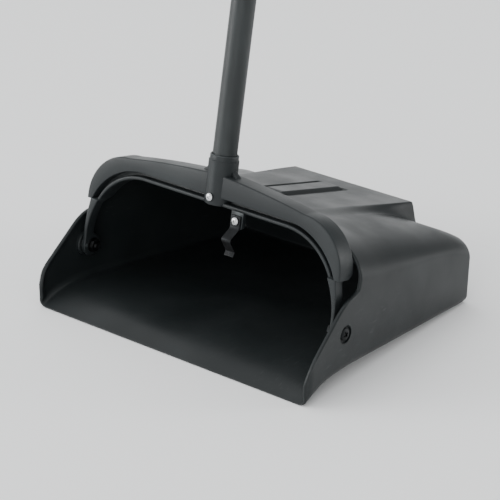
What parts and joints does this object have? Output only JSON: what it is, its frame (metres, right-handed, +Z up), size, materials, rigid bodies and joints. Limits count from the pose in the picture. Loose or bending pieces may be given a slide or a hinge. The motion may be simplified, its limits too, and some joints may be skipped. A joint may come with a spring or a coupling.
{
  "type": "lobby dust pan",
  "caption": "Upright hooded dust pan: an open scoop hung in a moulded yoke that turns on side bolts, on a long coated tube handle with a grip and hanging loop.",
  "frame": {"origin": "on the floor, in the middle of the scoop's footprint", "axes": "+X to the right as seen from in front of the mouth, +Y towards the back of the scoop, +Z up"},
  "size_m": [0.3056, 0.254, 0.9033],
  "materials": {
    "pan_plastic": "semi-gloss black polypropylene with a fine moulded grain",
    "yoke_plastic": "satin black moulded plastic",
    "handle_vinyl": "smooth dark vinyl coat on the tube",
    "grip_vinyl": "matt black vinyl",
    "zinc_steel": "zinc-plated steel",
    "dark_steel": "blackened steel"
  },
  "bodies": {
    "pan": {"pan_shell": "pan_plastic", "pivot_bolt_left": "dark_steel", "pivot_bolt_right": "dark_steel", "pivot_spacer_left": "grip_vinyl", "pivot_spacer_right": "grip_vinyl", "pivot_washer_left": "dark_steel", "pivot_washer_right": "dark_steel", "pivot_nut_left": "dark_steel", "pivot_nut_right": "dark_steel"},
    "handle": {"yoke": "yoke_plastic", "handle_tube": "zinc_steel", "handle_sleeve": "handle_vinyl", "hand_grip": "grip_vinyl", "hang_cap": "grip_vinyl", "socket_screw": "zinc_steel", "catch_spring": "dark_steel", "catch_screw": "zinc_steel"}
  },
  "joints": [
    {"name": "yoke_hinge", "type": "hinge", "parent": "pan", "child": "handle", "pos_m": [0, -0.072, 0.045], "axis": [1, 0, 0], "range_deg": [0, 102]}
  ]
}
